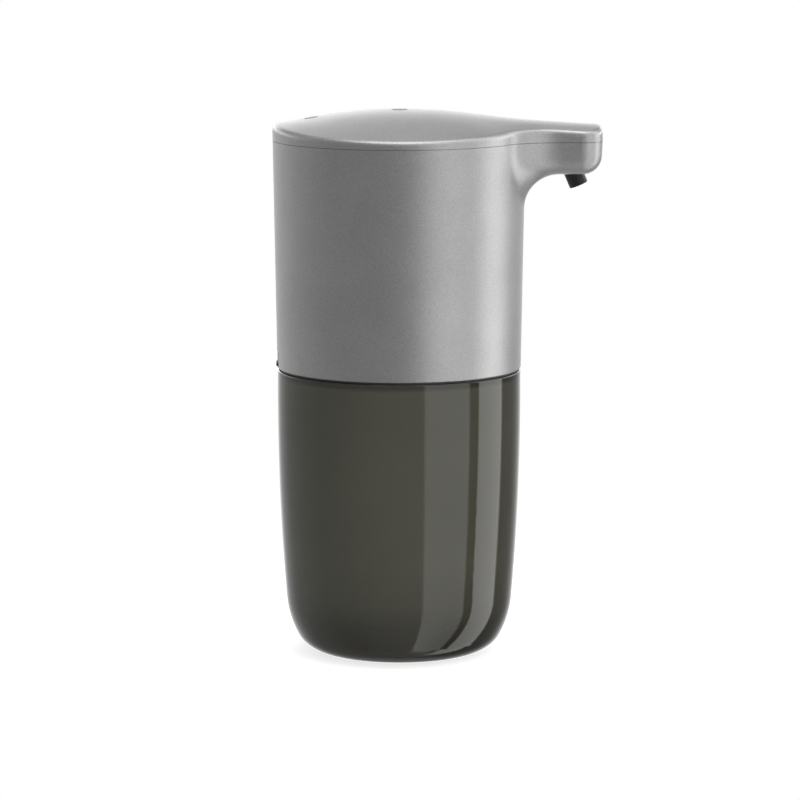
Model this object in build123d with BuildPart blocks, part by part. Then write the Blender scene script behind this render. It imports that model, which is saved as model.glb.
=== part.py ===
from build123d import *
from math import acos, asin, cos, degrees, hypot, pi, radians, sin, sqrt, tan
import os

os.makedirs("parts", exist_ok=True)

# Automatic soap dispenser, millimetres. +Z is up, the spout points along +X,
# and the origin is the middle of the base pad's underside.

# Fits and overruns that every piece shares
running_gap = 0.05
slide_gap = 0.12
seat_gap = 0.1
press_gap = 0.05
overrun = 2.0

# Reservoir: a smoked cup with a rounded foot
pad_proud = 0.2
foot_radius = 25.0
foot_corner_radius = 10.7
foot_corner_turn = 62.0
haunch_radius = 33.0
haunch_turn = 23.3
rim_radius = 41.0
reservoir_top = 96.1
reservoir_wall = 3.0
reservoir_floor = 4.0
rim_round = 0.4

# Base pad
pad_radius = 22.0
pad_thickness = 1.2
pad_round = 0.15

# Housing and cover: outline of the head
flange_thickness = 0.6
flange_inset = 0.6
housing_height = 76.4
head_top_radius = 42.3
housing_wall = 2.2
housing_edge_round = 0.3
lid_seam_gap = 0.12

# Spout
spout_reach = 67.8
spout_half_width = 13.0
spout_depth = 11.0
spout_draft = 2.5
spout_corner = 7.2
spout_edge_round = 6.4
tip_straight = 13.3
flare_radius = 24.5
root_reach = 33.5
junction_radius = 12.0

# Crowned top
dome_height = 9.95
crown_length_radius = 160.0
crown_width_radius = 116.0
crown_straight = 27.0
ridge_end_height = 5.0
ridge_slope_share = 0.056
ridge_root_reach = 32.0
ridge_root_radius = 250.0
spout_crown_radius = 43.0
crown_widen_reach = 62.0
crown_widen_length = 60.0
crown_blend = 0.78
cover_edge_round = 2.1
top_margin = 4.0
surface_tolerance = 0.03
lip_wall = 1.2
lip_depth = 3.0
lip_rise = 1.3

# Levels of the head
rim_seat = reservoir_top + seat_gap
housing_bottom = rim_seat + flange_thickness
lid_seam = housing_bottom + housing_height
apex = lid_seam + dome_height
form_top = apex + top_margin
wall_slope = (head_top_radius - rim_radius) / housing_height
flare_start = spout_reach - tip_straight
spout_underside = lid_seam - spout_depth

# Base plate
collar_depth = 3.1
collar_wall = 3.0
plate_floor = 2.0
locating_wall = 2.0
locating_height = 3.6
seal_radius = 0.9

# Housing screws
boss_radius = 3.4
boss_circle = 33.4
boss_height = 12.0
boss_web = 2.0
screw_radius = 1.15
screw_clearance = 0.25
screw_head_radius = 2.3
screw_head_height = 1.7
screw_length = 14.0
housing_screw_angles = (60, 150, 215, 300)

# Cover screws
cover_boss_radius = 3.0
cover_boss_circle = 35.4
cover_boss_drop = 9.1
lug_thickness = 2.5
cover_screw_length = 9.0
cover_screw_angles = (35, 160, 270)

# Control board and its switches
board_thickness = 1.6
board_radius = 33.6
board_front_reach = 24.0
board_drop = 5.1
board_post_radius = 2.6
board_post_circle = 24.0
board_screw_angles = (55, 125, 235)
board_screw_radius = 0.9
board_screw_length = 5.0
board_screw_head_radius = 1.7
board_screw_head_height = 1.0
switch_side = 6.0
switch_height = 3.5
plunger_radius = 1.7
plunger_height = 1.0
plunger_depth = 1.4

# Push buttons on the crown
dose_button_x = 0.2
dose_button_radius = 2.7
power_button_x = -29.4
power_button_radius = 2.4
button_proud = 0.15
button_travel = 0.6
button_edge_round = 0.5
sleeve_wall = 1.2
sleeve_length = 4.0
button_flange = 1.0
button_flange_thickness = 0.8
button_stem_radius = 1.3

# Nozzle
nozzle_end_x = 60.2
nozzle_end_z = 158.05
nozzle_tilt = 23.0
nozzle_radius = 3.2
nozzle_gap = 0.1
nozzle_bore = 1.3
nozzle_round = 0.4
nozzle_boss_wall = 1.5
nozzle_boss_height = 8.2
nozzle_flange = 1.0
nozzle_flange_thickness = 1.0
valve_radius = 2.3
valve_depth = 2.4
valve_inset = 0.4
valve_slit = 0.3
valve_slit_length = 1.8
valve_disc_thickness = 0.8

# Tubes
tube_radius = 2.4
tube_bore = 1.5
tube_fit = 0.05
tube_top_z = 170.5
tube_riser_x = 29.0
tube_lower_bend = 8.0
tube_upper_bend = 12.0
tube_nozzle_bend = 5.0
nozzle_socket_depth = 3.0

# Sensor behind its window under the spout
sensor_tilt = 35.0
window_radius = 3.5
window_recess = 0.15
eye_radius = 1.4
eye_length = 1.7
eye_spacing = 3.4
sensor_board_length = 8.0
sensor_board_width = 11.0
sensor_board_thickness = 1.0
sensor_post_radius = 1.0

# Gear pump
pump_x = 8.0
gear_module = 1.0
gear_teeth = 12
pressure_angle = 25.0
addendum_share = 0.8
dedendum_share = 1.05
gear_backlash = 0.1
chamber_gap = 0.1
chamber_depth = 8.0
pump_floor = 2.5
pump_wall_x = 3.2
pump_wall_y = 2.7
pump_corner = 3.0
gasket_thickness = 0.5
pump_cover_thickness = 2.5
pump_screw_inset = 2.4
pump_screw_radius = 0.95
pump_screw_head_radius = 1.8
pump_screw_head_height = 1.2
shaft_radius = 1.5
shaft_bearing_depth = 1.5
shaft_seal_radius = 3.4
shaft_seal_height = 1.5
inlet_radius = 2.2
inlet_bore = 1.3
inlet_offset = 4.4
inlet_length = 9.0
outlet_nipple_length = 2.6
outlet_bore = 0.9

# Pickup tube and strainer
pickup_radius = 2.9
pickup_overlap = 6.0
pickup_inset = 3.0
strainer_floor_gap = 1.0
strainer_radius = 4.5
strainer_height = 9.0
strainer_wall = 0.9
strainer_slot = 1.2
strainer_slots = 8

# Reduction gear and motor
drive_module = 0.6
reduction_teeth = 36
pinion_teeth = 10
drive_face = 4.0
pinion_face = 5.0
gear_lift = 1.4
hub_radius = 3.2
hub_proud = 0.6
web_recess = 1.0
rim_band = 2.4
motor_radius = 10.0
motor_flat = 7.55
motor_length = 25.1
motor_boss_radius = 3.0
motor_boss_height = 1.5
motor_cap_height = 1.9
motor_cap_inset = 0.8
motor_shaft_radius = 1.0
motor_bearing_depth = 4.0
bracket_thickness = 2.0
bracket_margin = 0.8
bracket_gap = 1.3
leg_radius = 2.2
leg_spread = 14.5
leg_setback = 4.0
leg_front_y = 19.0
peg_radius = 1.2
peg_height = 3.0
motor_screw_spacing = 6.6
motor_screw_radius = 0.95
motor_screw_head_height = 0.9
motor_screw_depth = 2.0
terminal_width = 1.6
terminal_thickness = 0.4
terminal_height = 2.2

# Battery
cell_radius = 9.2
cell_length = 65.0
cell_nub_radius = 2.8
cell_nub_height = 0.6
cell_x = -13.5
cell_y = 19.5
cradle_gap = 0.15
cradle_wall = 1.5
cradle_floor = 2.0
cradle_height = 52.0
cradle_opening = 110.0
cradle_opening_angle = 235.0
contact_radius = 5.0
contact_thickness = 0.4
tag_reach = 10.6
tag_width = 3.0

# Charging board, socket and plug at the back
charge_board_reach = 35.8
charge_board_length = 16.0
charge_board_width = 14.0
charge_post_inset = 2.6
charge_board_thickness = 1.0
charge_post_height = 1.5
charge_post_radius = 1.5
socket_width = 8.9
socket_height = 3.2
socket_depth = 7.3
socket_wall = 0.3
socket_reach = 38.0
socket_back = 0.9
tongue_width = 6.2
tongue_thickness = 0.7
tongue_inset = 1.3
notch_width = 14.0
notch_height = 5.6
plug_side_gap = 0.15
plug_thickness = 2.2
plug_recess = 0.15
bead_radius = 1.05
boss_reach = 1.2
boss_half_width = 3.9
boss_half_height = 0.9
tab_proud = 0.55
tab_half_width = 4.2
tab_height = 1.5
tab_lift = 0.25

# Leads
wire_radius = 0.6
wire_bend = 2.0
lead_spacing = 2.4


def head_radius(z):
    """Outer radius of the tapered housing at height z."""
    return rim_radius + (z - housing_bottom) * wall_slope


def top_height(x, y):
    """Height of the crowned top: a dome and a spout ridge, blended."""
    beyond = max(0, -x - crown_straight)
    along = (x * x - beyond * beyond) / (2 * crown_length_radius)
    dome = apex - along - y * y / (2 * crown_width_radius)
    root = max(0, ridge_root_reach - x) ** 2 / (2 * ridge_root_radius)
    ridge = lid_seam + ridge_end_height + ridge_slope_share * (spout_reach - x) - root
    across = spout_crown_radius + max(0, crown_widen_reach - x) ** 2 / crown_widen_length
    spout = ridge - y * y / (2 * across)
    return (dome + spout) / 2 + sqrt(((dome - spout) / 2) ** 2 + crown_blend ** 2)


def top_face(inset):
    """The crowned surface, lowered by inset and reaching past the outline."""
    rows, columns = 41, 31
    low_x = -head_top_radius - top_margin
    high_x = spout_reach + top_margin
    half_y = head_top_radius + top_margin
    grid = []
    for i in range(rows):
        x = low_x + (high_x - low_x) * i / (rows - 1)
        ys = [half_y * (2 * j / (columns - 1) - 1) for j in range(columns)]
        grid.append([Vector(x, y, top_height(x, y) - inset) for y in ys])
    return Face.make_surface_from_array_of_points(grid, tol=surface_tolerance)


def head_form(inset):
    """Solid of the tapered body and the spout, drawn in by inset."""
    half_width = spout_half_width - inset
    tip = spout_reach - inset
    flare = flare_radius + inset
    turn = degrees(asin((flare_start - root_reach) / flare))
    floor = spout_underside + inset
    with BuildPart() as beam:
        with BuildSketch(Plane.XY.offset(lid_seam)) as plan:
            with BuildLine():
                side = JernArc((flare_start, half_width), (-1, 0), flare, -turn)
                Line(side @ 1, ((side @ 1).X, 0))
                Line((flare_start, half_width), (tip, half_width))
                Line((tip, half_width), (tip, 0))
                mirror(about=Plane.XZ)
            make_face()
            fillet(plan.vertices().group_by(Axis.X)[-1], spout_corner - inset)
        extrude(amount=form_top - lid_seam)
        extrude(plan.sketch, amount=floor - lid_seam, taper=spout_draft)
        low = beam.faces().sort_by(Axis.Z)[0].edges().filter_by(
            lambda e: e.center().X > root_reach + overrun
        )
        fillet(low, spout_edge_round - inset)
    bottom = housing_bottom - inset
    with BuildPart() as form:
        with BuildSketch(Plane.XZ):
            with BuildLine():
                Polyline(
                    (0, bottom),
                    (inset - head_radius(bottom), bottom),
                    (inset - head_radius(form_top), form_top),
                    (0, form_top),
                    close=True,
                )
            make_face()
        revolve(axis=Axis.Z)
        add(beam.part)
        fillet(form.edges().filter_by(lambda e: on_body(e, inset)), junction_radius + inset)
    return form.part


def on_body(edge, inset):
    """True for the edges where the spout meets the tapered body."""
    p = edge @ 0.5
    on_wall = abs(hypot(p.X, p.Y) - head_radius(p.Z) + inset) < surface_tolerance
    return on_wall and p.X > 0 and housing_bottom + overrun < p.Z < form_top - overrun / 2


def below_top(form, inset):
    """The part of a form that lies under the crowned top."""
    return split(form, bisect_by=top_face(inset), keep=Keep.BOTTOM)


def slice_between(form, low, high):
    """The part of a form between two heights."""
    upper = split(form, bisect_by=Plane.XY.offset(low), keep=Keep.TOP)
    return split(upper, bisect_by=Plane.XY.offset(high), keep=Keep.BOTTOM)


def spots(circle, angles, z):
    """Planes at the given angles on a circle, each with its X axis pointing outward."""
    places = []
    for a in angles:
        point = (circle * cos(radians(a)), circle * sin(radians(a)), z)
        out = (cos(radians(a)), sin(radians(a)), 0)
        places.append(Plane(origin=point, x_dir=out, z_dir=(0, 0, 1)))
    return places


def save(piece, name):
    """Label a finished piece and write its file."""
    piece.part.label = name
    export_step(piece.part, "parts/" + name + ".step")


# Shared forms of the head

outer_form = head_form(0)
inner_form = head_form(housing_wall)
limit_form = head_form(housing_wall / 2)
lip_outer_form = head_form(housing_wall + slide_gap)
lip_inner_form = head_form(housing_wall + slide_gap + lip_wall)


# Reservoir

def cup_edge(inset, floor):
    """Half outline of the cup, from the axis to the rim."""
    base = Line((0, floor), (foot_radius, floor))
    corner = JernArc(base @ 1, base % 1, foot_corner_radius - inset, foot_corner_turn)
    haunch = JernArc(corner @ 1, corner % 1, haunch_radius - inset, haunch_turn)
    side = TangentArc(haunch @ 1, (rim_radius - inset, reservoir_top), tangent=haunch % 1)
    Polyline(side @ 1, (0, reservoir_top), (0, floor))


with BuildPart() as reservoir:
    with BuildSketch(Plane.XZ):
        with BuildLine():
            cup_edge(0, pad_proud)
        make_face()
    revolve(axis=Axis.Z)
    with BuildSketch(Plane.XZ):
        with BuildLine():
            cup_edge(reservoir_wall, pad_proud + reservoir_floor)
        make_face()
    revolve(axis=Axis.Z, mode=Mode.SUBTRACT)
    fillet(reservoir.faces().sort_by(Axis.Z)[-1].edges(), rim_round)
    with BuildSketch(Plane.XY.offset(pad_thickness)):
        Circle(pad_radius + slide_gap)
    extrude(amount=-pad_thickness, mode=Mode.SUBTRACT)
save(reservoir, "reservoir")

with BuildPart() as base_pad:
    with BuildSketch(Plane.XY):
        Circle(pad_radius)
    extrude(amount=pad_thickness)
    fillet(base_pad.faces().sort_by(Axis.Z)[0].edges(), pad_round)
save(base_pad, "base_pad")


# Places inside the head, worked out from the sizes above

mouth_radius = rim_radius - reservoir_wall
collar_radius = mouth_radius - 2 * slide_gap
collar_bottom = rim_seat - collar_depth
floor_top = collar_bottom + plate_floor
locating_radius = rim_radius - housing_wall - slide_gap
locating_top = housing_bottom + locating_height
seal_z = collar_bottom + collar_depth / 2
seal_circle = mouth_radius - running_gap - seal_radius

gear_spacing = gear_module * gear_teeth
drive_y = -gear_spacing / 2
idler_y = gear_spacing / 2
drive_spacing = drive_module * (reduction_teeth + pinion_teeth) / 2
motor_y = drive_y - drive_spacing
gear_outer = gear_spacing / 2 + gear_module * addendum_share
chamber_radius = gear_outer + chamber_gap
pump_half_x = chamber_radius + pump_wall_x
pump_half_y = gear_spacing / 2 + chamber_radius + pump_wall_y
chamber_bottom = floor_top + pump_floor
chamber_top = chamber_bottom + chamber_depth
pump_cover_bottom = chamber_top + gasket_thickness
pump_cover_top = pump_cover_bottom + pump_cover_thickness
outlet_z = chamber_bottom + chamber_depth / 2
inlet_x = pump_x - inlet_offset
reduction_bottom = pump_cover_top + gear_lift
reduction_top = reduction_bottom + drive_face
bracket_bottom = reduction_top + hub_proud + bracket_gap
motor_bottom = bracket_bottom + bracket_thickness
motor_top = motor_bottom + motor_length
legs = [
    (pump_x - leg_spread, drive_y - leg_setback),
    (pump_x + leg_spread, drive_y - leg_setback),
    (pump_x, leg_front_y),
]
pump_screw_places = [
    (pump_x + a * (pump_half_x - pump_screw_inset), b * (pump_half_y - pump_screw_inset))
    for a in (-1, 1)
    for b in (-1, 1)
]

charge_board_bottom = floor_top + charge_post_height
charge_board_top = charge_board_bottom + charge_board_thickness
charge_board_x = charge_board_length / 2 - charge_board_reach
socket_z = charge_board_top + socket_height / 2
charge_posts = [
    (charge_board_x + a * (charge_board_length / 2 - charge_post_inset),
     b * (charge_board_width / 2 - charge_post_inset))
    for a in (-1, 1)
    for b in (-1, 1)
]

board_top = lid_seam - board_drop
board_bottom = board_top - board_thickness
switch_top = board_top + switch_height
plunger_top = switch_top + plunger_height
cover_boss_bottom = lid_seam - cover_boss_drop
lug_bottom = cover_boss_bottom - lug_thickness

nozzle_in = Plane(
    origin=(nozzle_end_x, 0, nozzle_end_z),
    x_dir=(cos(radians(nozzle_tilt)), 0, sin(radians(nozzle_tilt))),
    z_dir=(-sin(radians(nozzle_tilt)), 0, cos(radians(nozzle_tilt))),
)
nozzle_top = nozzle_boss_height + running_gap + nozzle_flange_thickness

under_arc_z = spout_underside - junction_radius
under_arc_x = head_radius(under_arc_z) + junction_radius
window_in = Plane(
    origin=(
        under_arc_x - junction_radius * sin(radians(sensor_tilt)),
        0,
        under_arc_z + junction_radius * cos(radians(sensor_tilt)),
    ),
    x_dir=(cos(radians(sensor_tilt)), 0, sin(radians(sensor_tilt))),
    z_dir=(-sin(radians(sensor_tilt)), 0, cos(radians(sensor_tilt))),
)
eye_start = housing_wall + seat_gap
sensor_board_start = eye_start + eye_length
sensor_post_y = window_radius + press_gap + sensor_post_radius + seat_gap

bead_z = housing_bottom + notch_height - seat_gap - bead_radius
bead_x = plug_recess + bead_radius - head_radius(bead_z)


# Base plate that plugs into the reservoir's mouth and carries the pump

with BuildPart() as base_plate:
    with BuildSketch(Plane.XZ):
        with BuildLine():
            Polyline(
                (0, collar_bottom),
                (collar_radius, collar_bottom),
                (collar_radius, rim_seat),
                (rim_radius - flange_inset, rim_seat),
                (rim_radius - flange_inset, housing_bottom),
                (locating_radius, housing_bottom),
                (locating_radius, locating_top),
                (locating_radius - locating_wall, locating_top),
                (locating_radius - locating_wall, housing_bottom),
                (collar_radius - collar_wall, rim_seat),
                (collar_radius - collar_wall, floor_top),
                (0, floor_top),
                close=True,
            )
        make_face()
    revolve(axis=Axis.Z)
    for spot in spots(boss_circle, housing_screw_angles, collar_bottom):
        with BuildSketch(spot):
            Circle(boss_radius)
        extrude(amount=locating_top - collar_bottom)
    for spot in spots(boss_circle, housing_screw_angles, collar_bottom):
        with BuildSketch(spot):
            Circle(screw_radius + screw_clearance)
        extrude(amount=locating_top - collar_bottom, mode=Mode.SUBTRACT)
        with BuildSketch(spot):
            Circle(screw_head_radius + screw_clearance)
        extrude(amount=screw_head_height + seat_gap, mode=Mode.SUBTRACT)
    with BuildSketch(Plane.XY.offset(charge_board_bottom - seat_gap)):
        with Locations((-rim_radius, 0)):
            Rectangle(2 * (rim_radius - collar_radius + collar_wall), notch_width + overrun)
    extrude(amount=locating_top - charge_board_bottom + overrun, mode=Mode.SUBTRACT)
    with BuildSketch(Plane.XY.offset(rim_seat)):
        with Locations((-rim_radius, 0)):
            Rectangle(2 * (flange_inset + plug_thickness), notch_width + overrun)
    extrude(amount=flange_thickness, mode=Mode.SUBTRACT)
    with BuildSketch(Plane.XZ):
        with Locations((seal_circle, seal_z)):
            Circle(seal_radius)
    revolve(axis=Axis.Z, mode=Mode.SUBTRACT)
    with BuildSketch(Plane.XY.offset(floor_top)):
        with Locations(*legs):
            Circle(peg_radius)
    extrude(amount=peg_height)
    with BuildSketch(Plane.XY.offset(floor_top)):
        with Locations(*charge_posts):
            Circle(charge_post_radius)
    extrude(amount=charge_post_height)
    with BuildSketch(Plane.XY.offset(collar_bottom)):
        with Locations((inlet_x, 0)):
            Circle(inlet_radius + running_gap)
    extrude(amount=plate_floor, mode=Mode.SUBTRACT)
    with BuildSketch(Plane.XY.offset(floor_top)):
        with Locations(*pump_screw_places):
            Circle(pump_screw_radius + press_gap)
    extrude(amount=seat_gap - plate_floor / 2, mode=Mode.SUBTRACT)
save(base_plate, "base_plate")

with BuildPart() as reservoir_seal:
    with BuildSketch(Plane.XZ):
        with Locations((seal_circle, seal_z)):
            Circle(seal_radius)
    revolve(axis=Axis.Z)
save(reservoir_seal, "reservoir_seal")


# Housing: tapered body with the spout's trough moulded on

with BuildPart() as housing_inside:
    for spot in spots(boss_circle, housing_screw_angles, locating_top):
        with BuildSketch(spot):
            Circle(boss_radius)
            with Locations((boss_radius, 0)):
                Rectangle(2 * boss_radius, boss_web)
        extrude(amount=boss_height)
    for spot in spots(cover_boss_circle, cover_screw_angles, lug_bottom):
        with BuildSketch(spot):
            Circle(cover_boss_radius)
            with Locations((cover_boss_radius, 0)):
                Rectangle(2 * cover_boss_radius, 2 * cover_boss_radius)
        extrude(amount=lug_thickness)
    with BuildSketch(nozzle_in):
        Circle(nozzle_radius + nozzle_gap + nozzle_boss_wall)
    extrude(amount=nozzle_boss_height)
    with BuildSketch(window_in):
        with Locations((0, -sensor_post_y), (0, sensor_post_y)):
            Circle(sensor_post_radius)
    extrude(amount=sensor_board_start)
    add(limit_form, mode=Mode.INTERSECT)

housing_blank = slice_between(outer_form, housing_bottom, lid_seam)

with BuildPart() as housing:
    add(housing_blank)
    fillet(housing.faces().sort_by(Axis.Z)[0].edges(), housing_edge_round)
    add(inner_form, mode=Mode.SUBTRACT)
    add(housing_inside.part)
    for spot in spots(boss_circle, housing_screw_angles, locating_top):
        with BuildSketch(spot):
            Circle(screw_radius + press_gap)
        extrude(amount=boss_height - overrun, mode=Mode.SUBTRACT)
    for spot in spots(cover_boss_circle, cover_screw_angles, lug_bottom):
        with BuildSketch(spot):
            Circle(screw_radius + screw_clearance)
        extrude(amount=lug_thickness, mode=Mode.SUBTRACT)
    with BuildSketch(nozzle_in.offset(-overrun)):
        Circle(nozzle_radius + nozzle_gap)
    extrude(amount=nozzle_boss_height + 2 * overrun, mode=Mode.SUBTRACT)
    with BuildSketch(nozzle_in.offset(nozzle_boss_height)):
        Circle(nozzle_radius + nozzle_flange + nozzle_gap)
    extrude(amount=nozzle_flange_thickness, mode=Mode.SUBTRACT)
    with BuildSketch(window_in.offset(-overrun)):
        Circle(window_radius + press_gap)
    extrude(amount=housing_wall + 2 * overrun, mode=Mode.SUBTRACT)
    with BuildSketch(Plane.XY.offset(housing_bottom - overrun)):
        with Locations((-rim_radius, 0)):
            Rectangle(2 * (housing_wall + overrun), notch_width)
    extrude(amount=notch_height + overrun, mode=Mode.SUBTRACT)
save(housing, "housing")


# Top cover: crowned lid over the body and the spout

buttons = [
    (dose_button_x, dose_button_radius),
    (power_button_x, power_button_radius),
]

lip_top = lid_seam + lip_rise
lip_low = lid_seam - lip_depth
cover_blank = slice_between(below_top(outer_form, 0), lid_seam + lid_seam_gap, form_top)
cover_hollow = slice_between(below_top(inner_form, housing_wall), lip_top, form_top)
cover_limit = below_top(limit_form, housing_wall / 2)
lip_blank = slice_between(lip_outer_form, lip_low, lid_seam + lid_seam_gap)
lip_hollow = slice_between(lip_inner_form, lip_low, lip_top)

with BuildPart() as cover_inside:
    for spot in spots(cover_boss_circle, cover_screw_angles, cover_boss_bottom):
        with BuildSketch(spot):
            Circle(cover_boss_radius)
        extrude(amount=form_top - cover_boss_bottom)
    for spot in spots(board_post_circle, board_screw_angles, board_top):
        with BuildSketch(spot):
            Circle(board_post_radius)
        extrude(amount=form_top - board_top)
    for x, radius in buttons:
        with BuildSketch(Plane.XY.offset(top_height(x, 0) - sleeve_length)):
            with Locations((x, 0)):
                Circle(radius + slide_gap + sleeve_wall)
        extrude(amount=form_top - top_height(x, 0) + sleeve_length)
    add(cover_limit, mode=Mode.INTERSECT)

with BuildPart() as top_cover:
    add(cover_blank)
    rim_edges = top_cover.edges().filter_by(
        lambda e: e.bounding_box().min.Z > lid_seam + lid_seam_gap + overrun / 2
        and e.length > overrun
    )
    fillet(rim_edges, cover_edge_round)
    add(cover_hollow, mode=Mode.SUBTRACT)
    add(lip_blank)
    add(lip_hollow, mode=Mode.SUBTRACT)
    add(cover_inside.part)
    for x, radius in buttons:
        with BuildSketch(Plane.XY.offset(form_top)):
            with Locations((x, 0)):
                Circle(radius + slide_gap)
        extrude(amount=lid_seam - form_top, mode=Mode.SUBTRACT)
    for spot in spots(cover_boss_circle, cover_screw_angles, cover_boss_bottom):
        with BuildSketch(spot):
            Circle(screw_radius + press_gap)
        extrude(amount=cover_screw_length - lug_thickness + seat_gap, mode=Mode.SUBTRACT)
    for spot in spots(board_post_circle, board_screw_angles, board_top):
        with BuildSketch(spot):
            Circle(board_screw_radius + press_gap)
        extrude(amount=board_screw_length, mode=Mode.SUBTRACT)
save(top_cover, "top_cover")


# Push buttons, their switches and the control board

def button(x, radius):
    """A button with a crowned cap, a retaining flange and a stem."""
    surface = top_height(x, 0)
    flange_top = surface - sleeve_length - seat_gap
    flange_bottom = flange_top - button_flange_thickness
    with BuildPart() as piece:
        with BuildSketch(Plane.XY.offset(flange_top)):
            with Locations((x, 0)):
                Circle(radius)
        extrude(amount=form_top - flange_top)
        split(bisect_by=top_face(-button_proud), keep=Keep.BOTTOM)
        fillet(piece.edges().sort_by(Axis.Z)[-1], button_edge_round)
        with BuildSketch(Plane.XY.offset(flange_bottom)):
            with Locations((x, 0)):
                Circle(radius + button_flange)
        extrude(amount=button_flange_thickness)
        with BuildSketch(Plane.XY.offset(plunger_top)):
            with Locations((x, 0)):
                Circle(button_stem_radius)
        extrude(amount=flange_bottom - plunger_top)
    return piece


def plunger(x):
    """The moving pin of a tact switch."""
    with BuildPart() as piece:
        with BuildSketch(Plane.XY.offset(switch_top - plunger_depth)):
            with Locations((x, 0)):
                Circle(plunger_radius)
        extrude(amount=plunger_depth + plunger_height)
    return piece


save(button(*buttons[0]), "dose_button")
save(button(*buttons[1]), "power_button")
save(plunger(dose_button_x), "dose_plunger")
save(plunger(power_button_x), "power_plunger")

with BuildPart() as tact_switches:
    with BuildSketch(Plane.XY.offset(board_top)):
        with Locations((dose_button_x, 0), (power_button_x, 0)):
            Rectangle(switch_side, switch_side)
    extrude(amount=switch_height)
    with BuildSketch(Plane.XY.offset(switch_top)):
        with Locations((dose_button_x, 0), (power_button_x, 0)):
            Circle(plunger_radius + slide_gap)
    extrude(amount=-(plunger_depth + button_travel + seat_gap), mode=Mode.SUBTRACT)
save(tact_switches, "tact_switches")

with BuildPart() as control_board:
    with BuildSketch(Plane.XY.offset(board_bottom)):
        Circle(board_radius)
        with Locations((board_front_reach + board_radius, 0)):
            Rectangle(2 * board_radius, 2 * board_radius, mode=Mode.SUBTRACT)
    extrude(amount=board_thickness)
    for spot in spots(cover_boss_circle, cover_screw_angles, board_bottom):
        with BuildSketch(spot):
            Circle(cover_boss_radius + seat_gap)
        extrude(amount=board_thickness, mode=Mode.SUBTRACT)
    for spot in spots(board_post_circle, board_screw_angles, board_bottom):
        with BuildSketch(spot):
            Circle(board_screw_radius + press_gap)
        extrude(amount=board_thickness, mode=Mode.SUBTRACT)
save(control_board, "control_board")


# Screws: a pan head below and a plain shank above

def screws(places, shank, length, head, head_height):
    """One node of identical screws, each pointing along its place's Z axis."""
    with BuildPart() as group:
        for spot in places:
            with BuildSketch(spot):
                Circle(shank)
            extrude(amount=length)
            with BuildSketch(spot):
                Circle(head)
            extrude(amount=-head_height)
    return group


save(
    screws(
        spots(boss_circle, housing_screw_angles, collar_bottom + screw_head_height + seat_gap),
        screw_radius, screw_length, screw_head_radius, screw_head_height,
    ),
    "housing_screws",
)
save(
    screws(
        spots(cover_boss_circle, cover_screw_angles, lug_bottom),
        screw_radius, cover_screw_length, screw_head_radius, screw_head_height,
    ),
    "cover_screws",
)
save(
    screws(
        spots(board_post_circle, board_screw_angles, board_bottom),
        board_screw_radius, board_screw_length, board_screw_head_radius,
        board_screw_head_height,
    ),
    "board_screws",
)
save(
    screws(
        [Plane(origin=(x, y, pump_cover_top), z_dir=(0, 0, -1)) for x, y in pump_screw_places],
        pump_screw_radius, pump_cover_top - floor_top + plate_floor / 2 - seat_gap,
        pump_screw_head_radius, pump_screw_head_height,
    ),
    "pump_screws",
)
save(
    screws(
        [
            Plane(origin=(pump_x + a * motor_screw_spacing, motor_y, bracket_bottom))
            for a in (-1, 1)
        ],
        motor_screw_radius, bracket_thickness + motor_screw_depth,
        board_screw_head_radius, motor_screw_head_height,
    ),
    "motor_screws",
)


# Nozzle, its valve and the outlet tube

socket_bottom = nozzle_top - nozzle_socket_depth

with BuildPart() as nozzle:
    with BuildSketch(nozzle_in):
        Circle(nozzle_radius)
    extrude(amount=nozzle_top)
    fillet(nozzle.edges().sort_by(Axis.Z)[0], nozzle_round)
    with BuildSketch(nozzle_in.offset(nozzle_top)):
        Circle(nozzle_radius + nozzle_flange)
    extrude(amount=-nozzle_flange_thickness)
    with BuildSketch(nozzle_in):
        Circle(nozzle_bore)
    extrude(amount=nozzle_top, mode=Mode.SUBTRACT)
    with BuildSketch(nozzle_in):
        Circle(valve_radius + press_gap)
    extrude(amount=valve_inset + valve_depth, mode=Mode.SUBTRACT)
    with BuildSketch(nozzle_in.offset(socket_bottom)):
        Circle(tube_radius + press_gap)
    extrude(amount=nozzle_socket_depth, mode=Mode.SUBTRACT)
save(nozzle, "nozzle")

with BuildPart() as nozzle_valve:
    with BuildSketch(nozzle_in.offset(valve_inset + valve_depth)):
        Circle(valve_radius)
    extrude(amount=-valve_disc_thickness)
    with BuildSketch(nozzle_in.offset(valve_inset + valve_depth)):
        Circle(nozzle_bore)
    extrude(amount=-valve_depth)
    with BuildSketch(nozzle_in.offset(valve_inset)):
        Rectangle(valve_slit_length, valve_slit)
    extrude(amount=valve_depth, mode=Mode.SUBTRACT)
save(nozzle_valve, "nozzle_valve")

tube_start = (pump_x + pump_half_x + seat_gap, 0, outlet_z)
tube_corner_s = (tube_top_z - nozzle_end_z) / cos(radians(nozzle_tilt))
tube_corner = nozzle_in.offset(tube_corner_s).origin
tube_end = nozzle_in.offset(socket_bottom + seat_gap).origin

with BuildPart() as outlet_tube:
    with BuildLine() as tube_line:
        FilletPolyline(
            tube_start,
            (tube_riser_x, 0, outlet_z),
            (tube_riser_x, 0, tube_top_z),
            tube_corner,
            tube_end,
            radius=[tube_lower_bend, tube_upper_bend, tube_nozzle_bend],
        )
    with BuildSketch(Plane(origin=tube_start, z_dir=(1, 0, 0))):
        Circle(tube_radius)
        Circle(tube_bore, mode=Mode.SUBTRACT)
    sweep()
save(outlet_tube, "outlet_tube")


# Sensor window, eyes and board in the hollow of the spout

with BuildPart() as sensor_window:
    with BuildSketch(window_in.offset(-overrun)):
        Circle(window_radius)
    extrude(amount=housing_wall + overrun)
    add(head_form(window_recess), mode=Mode.INTERSECT)
save(sensor_window, "sensor_window")

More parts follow.
